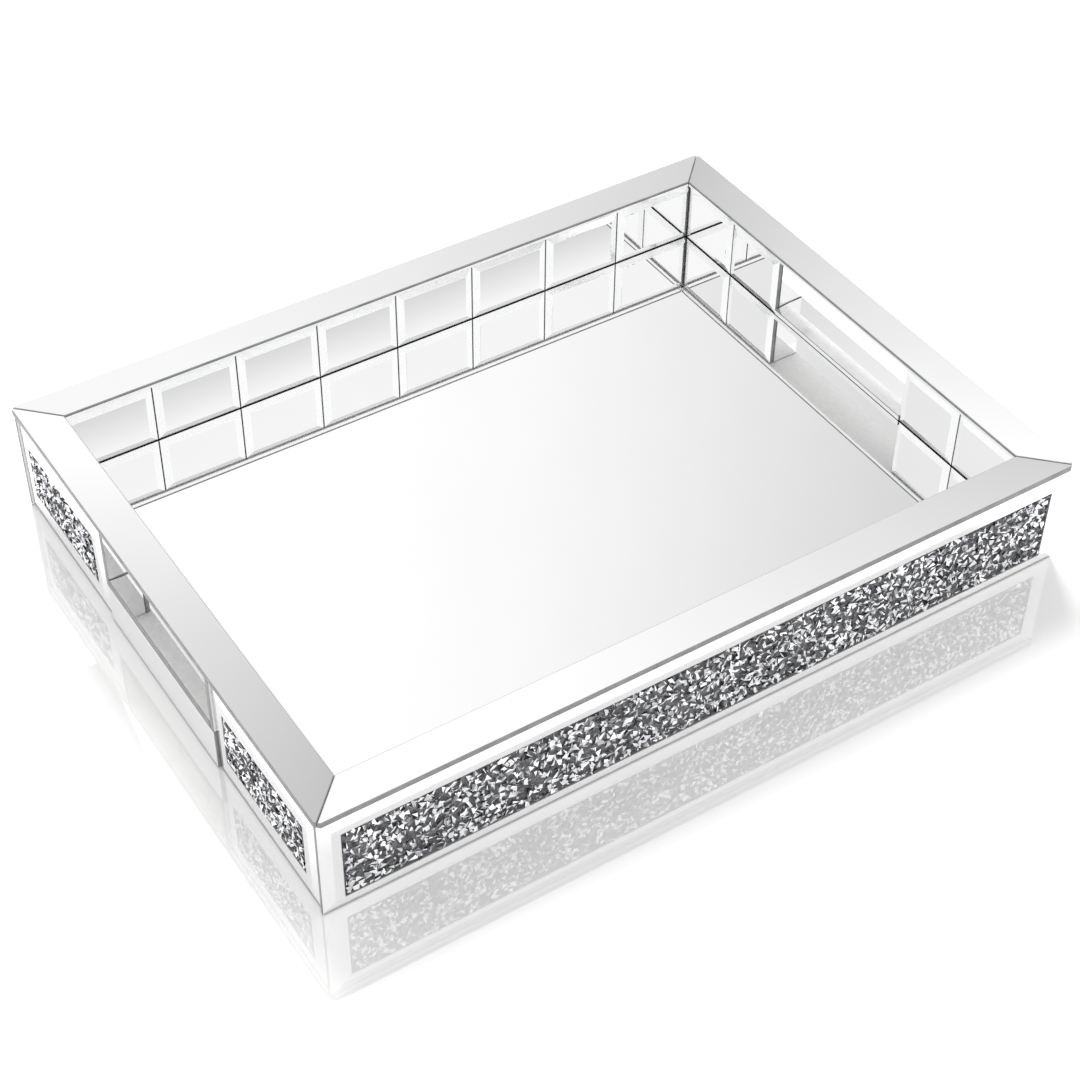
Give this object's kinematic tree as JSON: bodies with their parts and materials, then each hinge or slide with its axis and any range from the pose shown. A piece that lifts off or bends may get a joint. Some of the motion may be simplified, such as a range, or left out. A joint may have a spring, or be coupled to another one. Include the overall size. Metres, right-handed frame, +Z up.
{
  "type": "mirrored vanity tray",
  "caption": "Rectangular mirror-glass vanity tray with a low bevelled-tile wall, hand openings in its short sides and crushed-crystal bands outside.",
  "frame": {"origin": "middle of the underside, in the plane the tray rests on", "axes": "+X along the length, to the right seen from the front; +Y from the front wall to the back wall; +Z up"},
  "size_m": [0.4, 0.3, 0.06],
  "materials": {
    "mirror_glass": "silvered float glass, polished and bevelled",
    "crushed_crystal": "loose-set faceted glass chips, bright and dark grey facets",
    "fibreboard": "black-dyed medium-density fibreboard",
    "felt": "bonded needle felt"
  },
  "bodies": {
    "root": {"back_crystal_inlay": "crushed_crystal", "back_outer_panel": "mirror_glass", "back_rim_mirror": "mirror_glass", "back_tile_1": "mirror_glass", "back_tile_2": "mirror_glass", "back_tile_3": "mirror_glass", "back_tile_4": "mirror_glass", "back_tile_5": "mirror_glass", "back_tile_6": "mirror_glass", "back_tile_7": "mirror_glass", "back_tile_8": "mirror_glass", "back_wall_core": "fibreboard", "base_board": "fibreboard", "base_felt": "felt", "floor_mirror": "mirror_glass", "front_crystal_inlay": "crushed_crystal", "front_outer_panel": "mirror_glass", "front_rim_mirror": "mirror_glass", "front_tile_1": "mirror_glass", "front_tile_2": "mirror_glass", "front_tile_3": "mirror_glass", "front_tile_4": "mirror_glass", "front_tile_5": "mirror_glass", "front_tile_6": "mirror_glass", "front_tile_7": "mirror_glass", "front_tile_8": "mirror_glass", "front_wall_core": "fibreboard", "left_back_crystal_inlay": "crushed_crystal", "left_back_handle_jamb": "mirror_glass", "left_back_outer_panel": "mirror_glass", "left_back_tile_1": "mirror_glass", "left_back_tile_2": "mirror_glass", "left_front_crystal_inlay": "crushed_crystal", "left_front_handle_jamb": "mirror_glass", "left_front_outer_panel": "mirror_glass", "left_front_tile_1": "mirror_glass", "left_front_tile_2": "mirror_glass", "left_handle_ledge": "mirror_glass", "left_handle_lower_panel": "mirror_glass", "left_rim_mirror": "mirror_glass", "left_wall_core": "fibreboard", "right_back_crystal_inlay": "crushed_crystal", "right_back_handle_jamb": "mirror_glass", "right_back_outer_panel": "mirror_glass", "right_back_tile_1": "mirror_glass", "right_back_tile_2": "mirror_glass", "right_front_crystal_inlay": "crushed_crystal", "right_front_handle_jamb": "mirror_glass", "right_front_outer_panel": "mirror_glass", "right_front_tile_1": "mirror_glass", "right_front_tile_2": "mirror_glass", "right_handle_ledge": "mirror_glass", "right_handle_lower_panel": "mirror_glass", "right_rim_mirror": "mirror_glass", "right_wall_core": "fibreboard"}
  },
  "joints": []
}
